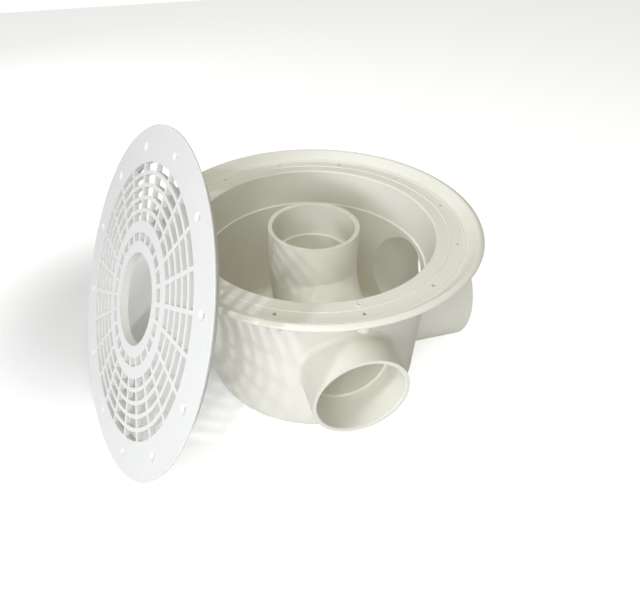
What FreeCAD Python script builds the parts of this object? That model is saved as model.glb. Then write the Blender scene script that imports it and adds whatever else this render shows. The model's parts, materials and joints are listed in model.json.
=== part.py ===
import FreeCAD, Part
import math
import os
import re
import Sketcher

# Tank bottom drain: a round pot with a dished flange, a 110 mm socket in the middle that turns out
# through the front, a 160 mm socket at the side, and the slotted grating leaning on the flange.
# Millimetres. Z is up along the pot's axis, zero is the plane that the pot stands on.
# The front socket points to -Y and the side socket to +X.

doc = FreeCAD.newDocument("tank_bottom_drain")
sheet = doc.addObject("Spreadsheet::Sheet", "Dimensions")

dimensions = [
    # Pot
    ("pot_base_radius", 156.0),
    ("pot_top_radius", 160.0),
    ("pot_base_thickness", 6.0),
    ("pot_base_round", 12.0),
    ("pot_floor_round", 10.0),
    ("chamber_base_radius", 150.0),
    ("chamber_top_radius", 152.0),
    ("ledge_radius", 154.5),
    ("ledge_height", 172.0),
    ("throat_radius", 159.2),
    ("throat_round", 1.8),
    # Flange: the flat ring with the screw holes, two sealing beads, the dish and its lip. Each
    # step is measured outwards from the feature before it, and each rise upwards from the ring.
    ("ring_height", 226.0),
    ("flange_thickness", 5.0),
    ("screw_circle_radius", 185.0),
    ("inner_bead_step", 8.5),
    ("outer_bead_step", 8.7),
    ("bead_width", 2.4),
    ("bead_height", 0.8),
    ("dish_foot_step", 3.3),
    ("dish_bend_step", 2.6),
    ("dish_bend_rise", 1.6),
    ("dish_slope_step", 8.0),
    ("dish_top_rise", 12.2),
    ("lip_crest_step", 1.8),
    ("lip_crest_rise", 13.2),
    ("lip_outer_step", 6.1),
    ("lip_outer_rise", 9.6),
    ("lip_under_step", 1.7),
    ("lip_under_drop", 2.8),
    ("screw_hole_radius", 2.25),
    ("boss_radius", 8.0),
    ("boss_drop", 21.0),
    # Front outlet, for 110 mm pipe
    ("pipe_socket_radius", 55.1),
    ("front_axis_height", 108.8),
    ("front_outer_radius", 60.4),
    ("front_mouth_reach", 201.4),
    ("front_stop_reach", 151.0),
    ("front_collar_reach", 135.0),
    ("spigot_radius", 57.0),
    ("mouth_bevel", 0.9),
    # Side outlet, for 160 mm pipe
    ("side_socket_radius", 80.1),
    ("side_axis_height", 88.3),
    ("side_outer_radius", 84.0),
    ("side_mouth_reach", 214.4),
    ("side_stop_reach", 164.0),
    ("side_port_radius", 77.6),
    # Bend in the middle
    ("tube_outer_radius", 61.2),
    ("tube_top_height", 225.0),
    ("tube_stop_height", 176.4),
    ("bend_bore_radius", 51.0),
    ("bend_radius", 62.0),
    # Grating, measured from its face and its centre
    ("grating_radius", 208.9),
    ("grating_edge", 1.6),
    ("grating_edge_round", 0.4),
    ("grating_taper", 12.9),
    ("grating_depth", 11.4),
    ("skirt_width", 4.5),
    ("rib_step", 2.5),
    ("rib_width", 4.5),
    ("bar_depth", 6.0),
    ("hub_outer_radius", 70.5),
    ("hub_depth", 10.6),
    ("hub_bore_radius", 56.5),
    ("slot_outer_radius", 165.5),
    ("slot_pitch", 15.0),
    ("slot_length", 10.0),
    ("short_slot_outer_radius", 81.0),
    ("short_slot_length", 10.5),
    ("bar_width", 5.0),
    ("head_recess_radius", 6.2),
    ("head_recess_depth", 2.6),
    ("grating_hole_radius", 2.75),
    # Where the grating leans: centre of its face, the way it faces and how far it leans back
    ("lean_x", -241.1),
    ("lean_y", -51.44),
    ("lean_z", 191.86),
    ("lean_azimuth", -167.45),
    ("lean_angle", 23.75),
]
for row, (alias, value) in enumerate(dimensions, start=1):
    sheet.set("A%d" % row, alias)
    sheet.set("B%d" % row, str(value))
    sheet.setAlias("B%d" % row, alias)
doc.recompute()

HOLES = 12
BARS = 24
SLOT_RINGS = 5


def cell(expression):
    """An expression on the sheet: every alias has an underscore and is read from Dimensions."""
    return re.sub(r"([a-z]+(?:_[a-z]+)+)", r"Dimensions.\1", expression)


def bind(thing, **sizes):
    for name, expression in sizes.items():
        thing.setExpression(name.replace("__", "."), cell(expression))


def turned_profile(name, corners):
    """A closed outline of straight lines, radius across and height up, turned about the Z axis."""
    sketch = doc.addObject("Sketcher::SketchObject", name + "_profile")
    sketch.Placement = FreeCAD.Placement(
        FreeCAD.Vector(0, 0, 0), FreeCAD.Rotation(FreeCAD.Vector(1, 0, 0), 90)
    )
    places = []
    for radius, height in corners:
        across = float(sheet.evalExpression(cell(radius)))
        along = float(sheet.evalExpression(cell(height)))
        places.append(FreeCAD.Vector(across, along, 0))
    count = len(places)
    for index in range(count):
        line = Part.LineSegment(places[index], places[(index + 1) % count])
        sketch.addGeometry(line, False)
    for index in range(count):
        following = (index + 1) % count
        sketch.addConstraint(Sketcher.Constraint("Coincident", index, 2, following, 1))
    for index, (radius, height) in enumerate(corners):
        if radius == "0":
            sketch.addConstraint(Sketcher.Constraint("PointOnObject", index, 1, -2))
        else:
            across = Sketcher.Constraint("DistanceX", -1, 1, index, 1, places[index].x)
            number = sketch.addConstraint(across)
            sketch.setExpression("Constraints[%d]" % number, cell(radius))
        if height == "0":
            sketch.addConstraint(Sketcher.Constraint("PointOnObject", index, 1, -1))
        else:
            along = Sketcher.Constraint("DistanceY", -1, 1, index, 1, places[index].y)
            number = sketch.addConstraint(along)
            sketch.setExpression("Constraints[%d]" % number, cell(height))
    turned = doc.addObject("Part::Revolution", name)
    turned.Source = sketch
    turned.Axis = FreeCAD.Vector(0, 0, 1)
    turned.Base = FreeCAD.Vector(0, 0, 0)
    turned.Angle = 360
    turned.Solid = True
    return turned


def cylinder(name, radius, height, turn=None):
    solid = doc.addObject("Part::Cylinder", name)
    bind(solid, Radius=radius, Height=height)
    if turn is not None:
        solid.Placement.Rotation = turn
    return solid


def cone(name, first, second, height, turn=None):
    solid = doc.addObject("Part::Cone", name)
    bind(solid, Radius1=first, Radius2=second, Height=height)
    if turn is not None:
        solid.Placement.Rotation = turn
    return solid


def joined(name, solids):
    result = doc.addObject("Part::MultiFuse", name)
    result.Shapes = solids
    result.Refine = True
    return result


def cut(name, base, tool):
    result = doc.addObject("Part::Cut", name)
    result.Base = base
    result.Tool = tool
    result.Refine = True
    return result


def around_circle(name, radius_expression, build):
    """One solid at each screw position of a circle about Z."""
    solids = []
    for number in range(HOLES):
        solid = build("%s_%02d" % (name, number))
        angle = 360.0 * number / HOLES
        bind(
            solid,
            Placement__Base__x="(%s) * cos(%s deg)" % (radius_expression, angle),
            Placement__Base__y="(%s) * sin(%s deg)" % (radius_expression, angle),
        )
        solids.append(solid)
    return solids


TO_FRONT = FreeCAD.Rotation(FreeCAD.Vector(1, 0, 0), 90)
TO_SIDE = FreeCAD.Rotation(FreeCAD.Vector(0, 1, 0), 90)

# Pot: outside. Each radius of the flange follows from the screw circle.

inner_bead = "screw_circle_radius - inner_bead_step"
outer_bead = "screw_circle_radius + outer_bead_step"
dish_foot = outer_bead + " + dish_foot_step"
dish_bend = dish_foot + " + dish_bend_step"
dish_top = dish_bend + " + dish_slope_step"
lip_crest = dish_top + " + lip_crest_step"
lip_outer = lip_crest + " + lip_outer_step"
lip_under = lip_outer + " - lip_under_step"
lip_height = "ring_height + lip_outer_rise"

pot_outside = turned_profile("pot_outside", [
    ("0", "0"),
    ("pot_base_radius - pot_base_round", "0"),
    ("pot_base_radius - 0.5 * pot_base_round", "0.13 * pot_base_round"),
    ("pot_base_radius - 0.13 * pot_base_round", "0.5 * pot_base_round"),
    ("pot_base_radius", "pot_base_round"),
    ("pot_top_radius", "ring_height - flange_thickness - 2"),
    ("pot_top_radius + 2", "ring_height - flange_thickness"),
    (dish_foot + " + 0.5 * dish_bend_step", "ring_height - flange_thickness"),
    (lip_under + " - lip_under_step", lip_height + " - 1.4 * lip_under_drop"),
    (lip_under, lip_height + " - lip_under_drop"),
    (lip_outer, lip_height),
    (lip_outer + " - 0.15 * lip_outer_step", lip_height + " + 0.2 * lip_outer_rise"),
    (lip_crest + " + 0.36 * lip_outer_step", "ring_height + 0.97 * lip_crest_rise"),
    (lip_crest, "ring_height + lip_crest_rise"),
    (dish_top, "ring_height + dish_top_rise"),
    (dish_bend, "ring_height + dish_bend_rise"),
    (dish_foot, "ring_height"),
    (outer_bead + " + bead_width / 2", "ring_height"),
    (outer_bead, "ring_height + bead_height"),
    (outer_bead + " - bead_width / 2", "ring_height"),
    (inner_bead + " + bead_width / 2", "ring_height"),
    (inner_bead, "ring_height + bead_height"),
    (inner_bead + " - bead_width / 2", "ring_height"),
    ("0", "ring_height"),
])

front_tube = cylinder("front_tube", "front_outer_radius", "front_mouth_reach", TO_FRONT)
bind(front_tube, Placement__Base__z="front_axis_height")
side_tube = cylinder("side_tube", "side_outer_radius", "side_mouth_reach", TO_SIDE)
bind(side_tube, Placement__Base__z="side_axis_height")


def flange_boss(name):
    boss = cylinder(name, "boss_radius", "boss_drop - 1")
    bind(boss, Placement__Base__z="ring_height - boss_drop")
    return boss


flange_bosses = around_circle("flange_boss", "screw_circle_radius", flange_boss)
pot_block = joined("pot_block", [pot_outside, front_tube, side_tube] + flange_bosses)

# Pot: chamber, sockets and screw holes

chamber = turned_profile("chamber", [
    ("0", "pot_base_thickness"),
    ("chamber_base_radius - pot_floor_round", "pot_base_thickness"),
    ("chamber_base_radius - 0.3 * pot_floor_round", "pot_base_thickness + 0.3 * pot_floor_round"),
    ("chamber_base_radius", "pot_base_thickness + pot_floor_round"),
    ("chamber_top_radius", "ledge_height - 0.6"),
    ("chamber_top_radius + 0.6", "ledge_height"),
    ("ledge_radius", "ledge_height"),
    ("throat_radius", "ring_height - throat_round"),
    ("throat_radius + 0.4 * throat_round", "ring_height - 0.4 * throat_round"),
    ("throat_radius + throat_round", "ring_height"),
    ("throat_radius + throat_round", "ring_height + 20"),
    ("0", "ring_height + 20"),
])
front_collar = cylinder(
    "front_collar", "front_outer_radius", "front_mouth_reach - front_collar_reach - 30", TO_FRONT
)
bind(
    front_collar,
    Placement__Base__z="front_axis_height",
    Placement__Base__y="- front_collar_reach",
)
pot_open = cut("pot_open", pot_block, chamber)
pot_collared = joined("pot_collared", [pot_open, front_collar])

front_socket = cylinder("front_socket", "pipe_socket_radius", "60", TO_FRONT)
bind(front_socket, Placement__Base__z="front_axis_height", Placement__Base__y="- front_stop_reach")
front_seat = cylinder("front_seat", "spigot_radius", "front_stop_reach - 100", TO_FRONT)
bind(front_seat, Placement__Base__z="front_axis_height", Placement__Base__y="- 100")
front_bevel = cone(
    "front_bevel",
    "pipe_socket_radius",
    "pipe_socket_radius + mouth_bevel + 1",
    "mouth_bevel + 1",
    TO_FRONT,
)
bind(
    front_bevel,
    Placement__Base__z="front_axis_height",
    Placement__Base__y="mouth_bevel - front_mouth_reach",
)
side_socket = cylinder("side_socket", "side_socket_radius", "60", TO_SIDE)
bind(side_socket, Placement__Base__z="side_axis_height", Placement__Base__x="side_stop_reach")
side_port = cylinder("side_port", "side_port_radius", "side_stop_reach - 100", TO_SIDE)
bind(side_port, Placement__Base__z="side_axis_height", Placement__Base__x="100")
side_bevel = cone(
    "side_bevel",
    "side_socket_radius",
    "side_socket_radius + mouth_bevel + 1",
    "mouth_bevel + 1",
    TO_SIDE,
)
bind(
    side_bevel,
    Placement__Base__z="side_axis_height",
    Placement__Base__x="side_mouth_reach - mouth_bevel",
)


def flange_hole(name):
    hole = cylinder(name, "screw_hole_radius", "boss_drop + 10")
    bind(hole, Placement__Base__z="ring_height - boss_drop - 5")
    return hole


flange_holes = around_circle("flange_hole", "screw_circle_radius", flange_hole)
pot_openings = joined(
    "pot_openings",
    [front_socket, front_seat, front_bevel, side_socket, side_port, side_bevel] + flange_holes,
)
drain_body = cut("drain_body", pot_collared, pot_openings)

# Bend in the middle: socket on top, quarter turn, and a leg whose spigot seats in the pot's collar


def bend_solid(name, radius, top, leg_end):
    upright = cylinder(name + "_upright", radius, "%s - front_axis_height - bend_radius" % top)
    bind(upright, Placement__Base__z="front_axis_height + bend_radius")
    turn = doc.addObject("Part::Torus", name + "_turn")
    bind(turn, Radius1="bend_radius", Radius2=radius)
    turn.Angle3 = 90
    turn.Placement.Rotation = FreeCAD.Rotation(
        FreeCAD.Vector(0, 1, 0), FreeCAD.Vector(0, 0, -1), FreeCAD.Vector(-1, 0, 0), "XYZ"
    )
    bind(
        turn,
        Placement__Base__y="- bend_radius",
        Placement__Base__z="front_axis_height + bend_radius",
    )
    leg = cylinder(name + "_leg", radius, "%s - bend_radius" % leg_end, TO_FRONT)
    bind(leg, Placement__Base__y="- bend_radius", Placement__Base__z="front_axis_height")
    return [upright, turn, leg]


bend_outside = bend_solid(
    "bend_outside", "tube_outer_radius", "tube_top_height", "front_collar_reach"
)
spigot = cylinder("spigot", "spigot_radius", "front_stop_reach - bend_radius", TO_FRONT)
bind(spigot, Placement__Base__y="- bend_radius", Placement__Base__z="front_axis_height")
bend_inside = bend_solid(
    "bend_inside", "bend_bore_radius", "(tube_top_height + 5)", "(front_stop_reach + 5)"
)
tube_socket = cylinder("tube_socket", "pipe_socket_radius", "60")
bind(tube_socket, Placement__Base__z="tube_stop_height")
tube_bevel = cone(
    "tube_bevel",
    "pipe_socket_radius",
    "pipe_socket_radius + mouth_bevel + 1",
    "mouth_bevel + 1",
)
bind(tube_bevel, Placement__Base__z="tube_top_height - mouth_bevel")
bend_block = joined("bend_block", bend_outside + [spigot])
bend_hollow = joined("bend_hollow", bend_inside + [tube_socket, tube_bevel])
centre_bend = cut("centre_bend", bend_block, bend_hollow)

# Grating: plate, slots between radial bars, screw recesses and holes. Height here is depth behind
# the face, so the finished grating is turned over into its leaning place.

grating_back = "grating_radius - grating_taper"
skirt_inner = grating_back + " - skirt_width"
rib_inner = "slot_outer_radius + rib_step"
rib_outer = rib_inner + " + rib_width"

plate = turned_profile("plate", [
    ("hub_bore_radius", "0"),
    ("grating_radius - grating_edge_round", "0"),
    ("grating_radius", "grating_edge_round"),
    ("grating_radius", "grating_edge"),
    (grating_back, "grating_depth"),
    (skirt_inner, "grating_depth"),
    (skirt_inner, "bar_depth"),
    (rib_outer, "bar_depth"),
    (rib_outer, "grating_depth"),
    (rib_inner, "grating_depth"),
    (rib_inner, "bar_depth"),
    ("hub_outer_radius", "bar_depth"),
    ("hub_outer_radius", "hub_depth"),
    ("hub_bore_radius", "hub_depth"),
])

slot_bands = []
for ring in range(SLOT_RINGS + 1):
    if ring < SLOT_RINGS:
        outer = "(slot_outer_radius - %d * slot_pitch)" % ring
        inner = "(%s - slot_length)" % outer
    else:
        outer = "short_slot_outer_radius"
        inner = "(short_slot_outer_radius - short_slot_length)"
    band_disc = cylinder("slot_band_%d_disc" % ring, outer, "bar_depth + 10")
    band_core = cylinder("slot_band_%d_core" % ring, inner, "bar_depth + 10")
    for disc in (band_disc, band_core):
        disc.Placement.Base.z = -5
    slot_bands.append(cut("slot_band_%d" % ring, band_disc, band_core))

bars = []
for number in range(BARS // 2):
    bar = doc.addObject("Part::Box", "bar_%02d" % number)
    angle = 360.0 * number / BARS
    bind(
        bar,
        Length="2 * grating_radius",
        Width="bar_width",
        Height="bar_depth + 20",
        Placement__Base__x="bar_width / 2 * sin(%s deg) - grating_radius * cos(%s deg)"
        % (angle, angle),
        Placement__Base__y="- grating_radius * sin(%s deg) - bar_width / 2 * cos(%s deg)"
        % (angle, angle),
    )
    bar.Placement.Base.z = -10
    bar.Placement.Rotation = FreeCAD.Rotation(FreeCAD.Vector(0, 0, 1), angle)
    bars.append(bar)
bar_star = joined("bar_star", bars)
band_set = joined("band_set", slot_bands)
slots = cut("slots", band_set, bar_star)


def head_recess(name):
    recess = cone(
        name,
        "2 * head_recess_radius - grating_hole_radius",
        "grating_hole_radius",
        "2 * head_recess_depth",
    )
    bind(recess, Placement__Base__z="- head_recess_depth")
    return recess


def plate_hole(name):
    hole = cylinder(name, "grating_hole_radius", "grating_depth + 10")
    hole.Placement.Base.z = -5
    return hole


head_recesses = around_circle("head_recess", "screw_circle_radius", head_recess)
plate_holes = around_circle("plate_hole", "screw_circle_radius", plate_hole)
grating_screw_cuts = joined("grating_screw_cuts", head_recesses + plate_holes)
slotted = cut("slotted", plate, slots)
grating_lid = cut("grating_lid", slotted, grating_screw_cuts)
grating_lid.setExpression(
    "Placement",
    "placement(vector(Dimensions.lean_x; Dimensions.lean_y; Dimensions.lean_z); "
    "rotation(vector(0; 0; 1); Dimensions.lean_azimuth) * "
    "rotation(vector(0; 1; 0); -90 - Dimensions.lean_angle))",
)

doc.recompute()

# Check every object, then write one file for each real piece

for item in doc.Objects:
    state = [str(word) for word in item.State]
    if "Invalid" in state or "Error" in state:
        raise RuntimeError("%s did not build: %s" % (item.Name, state))
    shape = getattr(item, "Shape", None)
    if shape is not None and (shape.isNull() or not shape.isValid()):
        raise RuntimeError("%s has no valid shape" % item.Name)

os.makedirs("parts", exist_ok=True)
for node, label in (
    (drain_body, "drain_body"),
    (centre_bend, "centre_bend"),
    (grating_lid, "grating_lid"),
):
    node.Label = label
    if len(node.Shape.Solids) != 1:
        raise RuntimeError("%s is %d solids" % (label, len(node.Shape.Solids)))
    node.Shape.exportStep(os.path.join("parts", node.Label + ".step"))
    box = node.Shape.BoundBox
    print(
        "%s: x %.2f to %.2f, y %.2f to %.2f, z %.2f to %.2f, volume %.0f"
        % (label, box.XMin, box.XMax, box.YMin, box.YMax, box.ZMin, box.ZMax, node.Shape.Volume)
    )
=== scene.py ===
import json

import bpy
import numpy as np
from mathutils import Matrix, Vector

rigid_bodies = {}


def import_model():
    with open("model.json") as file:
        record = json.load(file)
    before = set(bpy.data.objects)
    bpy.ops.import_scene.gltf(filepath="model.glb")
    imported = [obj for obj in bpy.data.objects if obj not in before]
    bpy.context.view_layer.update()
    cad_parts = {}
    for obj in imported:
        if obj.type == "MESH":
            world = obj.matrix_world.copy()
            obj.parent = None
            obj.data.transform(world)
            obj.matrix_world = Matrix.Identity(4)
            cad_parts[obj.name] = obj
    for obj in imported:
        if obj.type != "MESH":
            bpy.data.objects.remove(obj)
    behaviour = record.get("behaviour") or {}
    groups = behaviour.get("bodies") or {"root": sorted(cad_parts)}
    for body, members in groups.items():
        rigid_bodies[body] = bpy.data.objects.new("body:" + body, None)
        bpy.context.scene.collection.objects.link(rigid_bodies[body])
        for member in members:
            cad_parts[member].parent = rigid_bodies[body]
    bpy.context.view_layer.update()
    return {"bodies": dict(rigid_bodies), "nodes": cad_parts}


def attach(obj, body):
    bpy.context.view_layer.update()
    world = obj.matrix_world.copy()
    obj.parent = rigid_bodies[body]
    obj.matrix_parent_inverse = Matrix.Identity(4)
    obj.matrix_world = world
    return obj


# Pot: one injection moulding of pale ivory plastic, with the dished flange, its screw bosses and the
# stubs of both pipe sockets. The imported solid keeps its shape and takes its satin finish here.

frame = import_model()
body = sorted(frame["bodies"])[0]


def new_tree(name):
    """A material of that name with an empty node tree, and its output."""
    material = bpy.data.materials.new(name)
    material.use_nodes = True
    tree = material.node_tree
    tree.nodes.clear()
    return material, tree, tree.nodes.new("ShaderNodeOutputMaterial")


def moulding_group():
    """What a moulded face shows: colour that clouds a little, gloss that wanders, and fine texture.

    Cloud is slow noise over a hand's width, Flow is noise drawn out along Z as the melt ran, and
    Grain is the mould's spark texture. Colour mixes towards the stain where Cloud is high.
    """
    group = bpy.data.node_groups.new("moulded_face", "ShaderNodeTree")
    for name, kind in (("Colour", "NodeSocketColor"), ("Stain", "NodeSocketColor"),
                       ("Stain Amount", "NodeSocketFloat"), ("Roughness", "NodeSocketFloat"),
                       ("Roughness Spread", "NodeSocketFloat"), ("Grain", "NodeSocketFloat")):
        group.interface.new_socket(name, in_out="INPUT", socket_type=kind)
    for name, kind in (("Colour", "NodeSocketColor"), ("Roughness", "NodeSocketFloat"),
                       ("Normal", "NodeSocketVector")):
        group.interface.new_socket(name, in_out="OUTPUT", socket_type=kind)
    nodes, links = group.nodes, group.links
    given = nodes.new("NodeGroupInput")
    result = nodes.new("NodeGroupOutput")
    place = nodes.new("ShaderNodeTexCoord")

    cloud = nodes.new("ShaderNodeTexNoise")
    cloud.inputs["Scale"].default_value = 9.0
    cloud.inputs["Detail"].default_value = 4.0
    links.new(place.outputs["Object"], cloud.inputs["Vector"])
    high = nodes.new("ShaderNodeMapRange")
    high.interpolation_type = "SMOOTHSTEP"
    high.inputs["From Min"].default_value = 0.45
    high.inputs["From Max"].default_value = 0.75
    links.new(cloud.outputs["Fac"], high.inputs["Value"])
    share = nodes.new("ShaderNodeMath")
    share.operation = "MULTIPLY"
    links.new(high.outputs["Result"], share.inputs[0])
    links.new(given.outputs["Stain Amount"], share.inputs[1])
    blend = nodes.new("ShaderNodeMix")
    blend.data_type = "RGBA"
    links.new(share.outputs[0], blend.inputs["Factor"])
    links.new(given.outputs["Colour"], blend.inputs["A"])
    links.new(given.outputs["Stain"], blend.inputs["B"])
    links.new(blend.outputs["Result"], result.inputs["Colour"])

    stretch = nodes.new("ShaderNodeMapping")
    stretch.inputs["Scale"].default_value = (30.0, 30.0, 7.0)
    links.new(place.outputs["Object"], stretch.inputs["Vector"])
    flow = nodes.new("ShaderNodeTexNoise")
    flow.inputs["Scale"].default_value = 1.0
    flow.inputs["Detail"].default_value = 2.0
    links.new(stretch.outputs["Vector"], flow.inputs["Vector"])
    centred = nodes.new("ShaderNodeMath")
    centred.operation = "SUBTRACT"
    centred.inputs[1].default_value = 0.5
    links.new(flow.outputs["Fac"], centred.inputs[0])
    wander = nodes.new("ShaderNodeMath")
    wander.operation = "MULTIPLY_ADD"
    links.new(centred.outputs[0], wander.inputs[0])
    links.new(given.outputs["Roughness Spread"], wander.inputs[1])
    links.new(given.outputs["Roughness"], wander.inputs[2])
    links.new(wander.outputs[0], result.inputs["Roughness"])

    grain = nodes.new("ShaderNodeTexNoise")
    grain.inputs["Scale"].default_value = 900.0
    grain.inputs["Detail"].default_value = 1.0
    links.new(place.outputs["Object"], grain.inputs["Vector"])
    relief = nodes.new("ShaderNodeBump")
    relief.inputs["Distance"].default_value = 0.0001
    links.new(given.outputs["Grain"], relief.inputs["Strength"])
    links.new(grain.outputs["Fac"], relief.inputs["Height"])
    links.new(relief.outputs["Normal"], result.inputs["Normal"])
    return group


MOULDED_FACE = moulding_group()


def moulded_plastic(name, colour, stain, roughness):
    """Satin plastic: a plain dielectric under the moulded face's colour, gloss and texture."""
    material, tree, output = new_tree(name)
    surface = tree.nodes.new("ShaderNodeBsdfPrincipled")
    surface.inputs["IOR"].default_value = 1.49
    face = tree.nodes.new("ShaderNodeGroup")
    face.node_tree = MOULDED_FACE
    face.inputs["Colour"].default_value = (*colour, 1.0)
    face.inputs["Stain"].default_value = (*stain, 1.0)
    face.inputs["Stain Amount"].default_value = 0.5
    face.inputs["Roughness"].default_value = roughness
    face.inputs["Roughness Spread"].default_value = 0.2
    face.inputs["Grain"].default_value = 0.12
    tree.links.new(face.outputs["Colour"], surface.inputs["Base Color"])
    tree.links.new(face.outputs["Roughness"], surface.inputs["Roughness"])
    tree.links.new(face.outputs["Normal"], surface.inputs["Normal"])
    tree.links.new(surface.outputs["BSDF"], output.inputs["Surface"])
    return material


def paint(node, material):
    """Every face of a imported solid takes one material."""
    slots = frame["nodes"][node].data.materials
    slots.clear()
    slots.append(material)


IVORY = (0.885, 0.875, 0.790)
IVORY_STAIN = (0.840, 0.830, 0.715)
pot_plastic = moulded_plastic("pot_plastic", IVORY, IVORY_STAIN, 0.40)
paint("drain_body", pot_plastic)

# Root round: where the front outlet grows out of the pot the mould leaves a soft fillet. It is a
# ball rolled round the joint of the two walls, closed behind by a ridge sunk in the plastic.

POT_FOOT = 0.156
POT_SHOULDER = 0.160
POT_FOOT_HEIGHT = 0.012
POT_SHOULDER_HEIGHT = 0.219
OUTLET_RADIUS = 0.0604
OUTLET_HEIGHT = 0.1088
ROOT_ROUND = 0.007
ROOT_SINK = 0.0004
ROOT_SINK_POWER = 8
ROOT_STEPS_ROUND = 240
ROOT_STEPS_ACROSS = 9


def pot_radius(height):
    """The pot's wall is a cone: its radius grows evenly from foot to shoulder."""
    share = (height - POT_FOOT_HEIGHT) / (POT_SHOULDER_HEIGHT - POT_FOOT_HEIGHT)
    return POT_FOOT + share * (POT_SHOULDER - POT_FOOT)


def smooth_mesh(name, points, material):
    """A mesh from a grid of points that closes on itself both along it and across it."""
    rows, columns = points.shape[:2]
    index = np.arange(rows * columns).reshape(rows, columns)
    ahead = np.roll(index, -1, axis=0)
    beside = np.roll(index, -1, axis=1)
    corners = np.stack([index, ahead, np.roll(ahead, -1, axis=1), beside], axis=-1)
    mesh = bpy.data.meshes.new(name)
    mesh.from_pydata(points.reshape(-1, 3).tolist(), [], corners.reshape(-1, 4).tolist())
    mesh.polygons.foreach_set("use_smooth", [True] * len(mesh.polygons))
    mesh.materials.append(material)
    piece = bpy.data.objects.new(name, mesh)
    bpy.context.scene.collection.objects.link(piece)
    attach(piece, body)


# The ball's centre goes once round the outlet and keeps the ball's radius from both walls. At each
# place an arc on the ball runs from the outlet's wall to the pot's, and both its ends swell a little
# to sink into the plastic.
turn = -np.linspace(0, 2 * np.pi, ROOT_STEPS_ROUND, endpoint=False)
ball_x = (OUTLET_RADIUS + ROOT_ROUND) * np.cos(turn)
ball_z = OUTLET_HEIGHT + (OUTLET_RADIUS + ROOT_ROUND) * np.sin(turn)
ball_y = -np.sqrt((pot_radius(ball_z) + ROOT_ROUND) ** 2 - ball_x ** 2)
ball = np.stack([ball_x, ball_y, ball_z], axis=-1)
to_outlet = np.stack([-np.cos(turn), np.zeros_like(turn), -np.sin(turn)], axis=-1)
to_pot = np.stack([-ball_x, -ball_y, np.zeros_like(turn)], axis=-1)
to_pot /= np.linalg.norm(to_pot, axis=-1, keepdims=True)
sweep = np.arccos(np.clip((to_outlet * to_pot).sum(-1), -1, 1))[:, None, None]
share = np.linspace(0, 1, ROOT_STEPS_ACROSS)[None, :, None]
arc = np.sin((1 - share) * sweep) * to_outlet[:, None] + np.sin(share * sweep) * to_pot[:, None]
arc = arc / np.sin(sweep)
swell = ROOT_SINK * (2 * share - 1) ** ROOT_SINK_POWER
round_face = ball[:, None] + (ROOT_ROUND + swell) * arc
ridge = ball + (to_outlet + to_pot) * (ROOT_ROUND + 2 * ROOT_SINK)
root = np.concatenate([round_face, ridge[:, None]], axis=1)
smooth_mesh("front_root_round", root, pot_plastic)

# Gate mark: a low round pad on the flange's inner ring, in front, where the moulding's feed was
# broken off. It is a shallow disc with a rounded edge, standing a hair above the ring.

RING_HEIGHT = 0.226
GATE_REACH = 0.1685
GATE_RADIUS = 0.0050
GATE_RISE = 0.00035
GATE_STEPS = 48

# A profile of shares of the radius and of the rise, from under the ring's face up and over to the
# middle, is turned about the pad's own upright axis.
spin = np.linspace(0, 2 * np.pi, GATE_STEPS, endpoint=False)[:, None]
profile = np.array([[1.0, -1.0], [1.0, 0.0], [0.93, 0.8], [0.80, 1.0], [0.02, 1.0], [0.02, -1.0]])
across = GATE_RADIUS * profile[:, 0]
gate = np.stack([
    across * np.cos(spin),
    across * np.sin(spin) - GATE_REACH,
    RING_HEIGHT + GATE_RISE * profile[:, 1] + np.zeros_like(spin),
], axis=-1)
smooth_mesh("gate_mark", gate, pot_plastic)

# Bend in the middle: a pipe socket, a quarter turn and a leg to the front outlet, moulded in one of
# the same plastic, a little glossier. Its spigot is cemented into the pot's front collar.

BEND_IVORY = (0.895, 0.885, 0.795)
paint("centre_bend", moulded_plastic("bend_plastic", BEND_IVORY, IVORY_STAIN, 0.36))

# Grating: a flat round moulding with rings of slots, in a whiter plastic. It has been taken off the
# pot, stands on the ground and leans on the flange's lip.

GRATING_WHITE = (0.755, 0.755, 0.735)
GRATING_STAIN = (0.735, 0.735, 0.710)
paint("grating_lid", moulded_plastic("grating_plastic", GRATING_WHITE, GRATING_STAIN, 0.42))

# Studio: a plain pale floor that keeps the object's soft shadow, under a white sky and six square
# lamps, most of them in front on the left. The floor's own light reaches only the camera. It is
# withheld round a spot behind the grating, which paints a shade on the floor seen through the slots.

FLOOR_HALF = 3.0
# Painted shade on the floor: its middle, and the radii between which the floor's glow rises from
# none to full.
PAINTED_SHADE_MIDDLE = (-0.28, 0.15, 0.0)
PAINTED_SHADE_INNER = 0.10
PAINTED_SHADE_OUTER = 0.42
FLOOR_LIFT = 0.62
floor_mesh = bpy.data.meshes.new("floor")
floor_mesh.from_pydata(
    [(-FLOOR_HALF, -FLOOR_HALF, 0), (FLOOR_HALF, -FLOOR_HALF, 0),
     (FLOOR_HALF, FLOOR_HALF, 0), (-FLOOR_HALF, FLOOR_HALF, 0)],
    [], [(0, 1, 2, 3)],
)
floor = bpy.data.objects.new("floor", floor_mesh)
bpy.context.scene.collection.objects.link(floor)
floor_white, tree, output = new_tree("floor_white")
lit = tree.nodes.new("ShaderNodeBsdfDiffuse")
lit.inputs["Color"].default_value = (0.86, 0.86, 0.86, 1.0)
glow = tree.nodes.new("ShaderNodeEmission")
ray = tree.nodes.new("ShaderNodeLightPath")
place = tree.nodes.new("ShaderNodeTexCoord")
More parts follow.
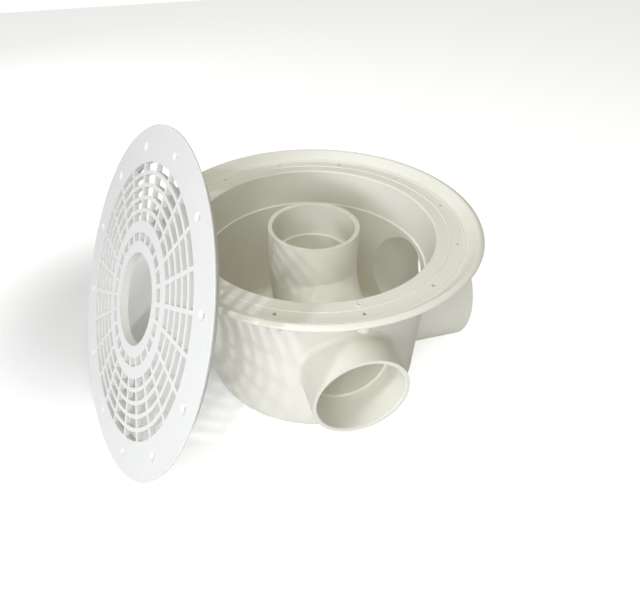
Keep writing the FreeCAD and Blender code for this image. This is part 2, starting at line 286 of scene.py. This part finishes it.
# Painted shade mask: the glow is weakest near the spot behind the grating, so the floor there looks
# shaded to the camera.
from_painted_shade = tree.nodes.new("ShaderNodeVectorMath")
from_painted_shade.operation = "DISTANCE"
from_painted_shade.inputs[1].default_value = PAINTED_SHADE_MIDDLE
tree.links.new(place.outputs["Object"], from_painted_shade.inputs[0])
rise = tree.nodes.new("ShaderNodeMapRange")
rise.interpolation_type = "SMOOTHSTEP"
rise.inputs["From Min"].default_value = PAINTED_SHADE_INNER
rise.inputs["From Max"].default_value = PAINTED_SHADE_OUTER
rise.inputs["To Min"].default_value = 0.0
rise.inputs["To Max"].default_value = FLOOR_LIFT
tree.links.new(from_painted_shade.outputs["Value"], rise.inputs["Value"])
lift = tree.nodes.new("ShaderNodeMath")
lift.operation = "MULTIPLY"
tree.links.new(ray.outputs["Is Camera Ray"], lift.inputs[0])
tree.links.new(rise.outputs["Result"], lift.inputs[1])
tree.links.new(lift.outputs[0], glow.inputs["Strength"])
both = tree.nodes.new("ShaderNodeAddShader")
tree.links.new(lit.outputs[0], both.inputs[0])
tree.links.new(glow.outputs[0], both.inputs[1])
tree.links.new(both.outputs[0], output.inputs["Surface"])
floor_mesh.materials.append(floor_white)

world = bpy.data.worlds.new("studio")
bpy.context.scene.world = world
world.use_nodes = True
tree = world.node_tree
tree.nodes.clear()
output = tree.nodes.new("ShaderNodeOutputWorld")
sky = tree.nodes.new("ShaderNodeBackground")
ray = tree.nodes.new("ShaderNodeLightPath")
seen = tree.nodes.new("ShaderNodeMath")
seen.operation = "MAXIMUM"
tree.links.new(ray.outputs["Is Camera Ray"], seen.inputs[0])
tree.links.new(ray.outputs["Is Transmission Ray"], seen.inputs[1])
tone = tree.nodes.new("ShaderNodeMix")
tone.data_type = "RGBA"
tone.inputs["A"].default_value = (0.205, 0.200, 0.178, 1.0)
tone.inputs["B"].default_value = (1.0, 1.0, 1.0, 1.0)
tree.links.new(seen.outputs[0], tone.inputs["Factor"])
tree.links.new(tone.outputs["Result"], sky.inputs["Color"])
tree.links.new(sky.outputs["Background"], output.inputs["Surface"])

LAMP_AIM = Vector((0.0, 0.0, 0.12))
LAMP_DISTANCE = 2.0


def softbox(name, azimuth, elevation, size, watts, colour):
    """A square lamp of that size in metres, which the object sees at those two angles in degrees.

    It stands on a sphere about the point that it aims at: the azimuth turns from +X towards +Y, and
    the elevation lifts it from the ground.
    """
    bearing, rise = np.radians((azimuth, elevation))
    away = Vector((
        np.cos(rise) * np.cos(bearing), np.cos(rise) * np.sin(bearing), np.sin(rise)
    ))
    lamp = bpy.data.lights.new(name, "AREA")
    lamp.shape = "SQUARE"
    lamp.size = size
    lamp.energy = watts
    lamp.color = colour
    box = bpy.data.objects.new(name, lamp)
    box.location = LAMP_AIM + LAMP_DISTANCE * away
    box.rotation_euler = (-away).to_track_quat("-Z", "Y").to_euler()
    bpy.context.scene.collection.objects.link(box)


softbox("key", 205, 35, 0.11, 8.5, (0.92, 0.97, 1.12))
softbox("front_low", 240, 20, 0.80, 12.5, (0.99, 1.0, 1.05))
softbox("front_high", 240, 50, 0.80, 7.5, (1.0, 1.0, 0.98))
softbox("left_low", 210, 15, 0.80, 3.0, (1.0, 1.0, 1.0))
softbox("top", 0, 88, 0.80, 8.5, (1.02, 1.0, 0.90))
softbox("back_left", 120, 25, 0.80, 2.5, (1.0, 1.0, 1.0))

# Camera: at the photograph's viewing angle. Its place, its direction and its lens come from the
# circles of the flange, the sockets and the grating.

CAMERA_PLACE = Vector((-0.18277, -0.56850, 0.59896))
CAMERA_FORWARD = Vector((0.18645, 0.78078, -0.59633)).normalized()
CAMERA_UP = Vector((0.15826, 0.57518, 0.80257))
FRAME_WIDTH = 640
FOCAL_PIXELS = 524.8
SENSOR_WIDTH = 36.0
SHIFT_RIGHT = 0.0623
SHIFT_UP = -0.0580
camera_right = CAMERA_FORWARD.cross(CAMERA_UP).normalized()
camera_up = camera_right.cross(CAMERA_FORWARD)
camera_data = bpy.data.cameras.new("photo_camera")
camera_data.sensor_fit = "HORIZONTAL"
camera_data.sensor_width = SENSOR_WIDTH
camera_data.lens = SENSOR_WIDTH * FOCAL_PIXELS / FRAME_WIDTH
camera_data.shift_x = SHIFT_RIGHT
camera_data.shift_y = SHIFT_UP
camera = bpy.data.objects.new("photo_camera", camera_data)
axes = Matrix((camera_right, camera_up, -CAMERA_FORWARD)).transposed()
camera.matrix_world = Matrix.Translation(CAMERA_PLACE) @ axes.to_4x4()
bpy.context.scene.collection.objects.link(camera)
bpy.context.scene.camera = camera
bpy.context.scene.view_settings.view_transform = "Standard"
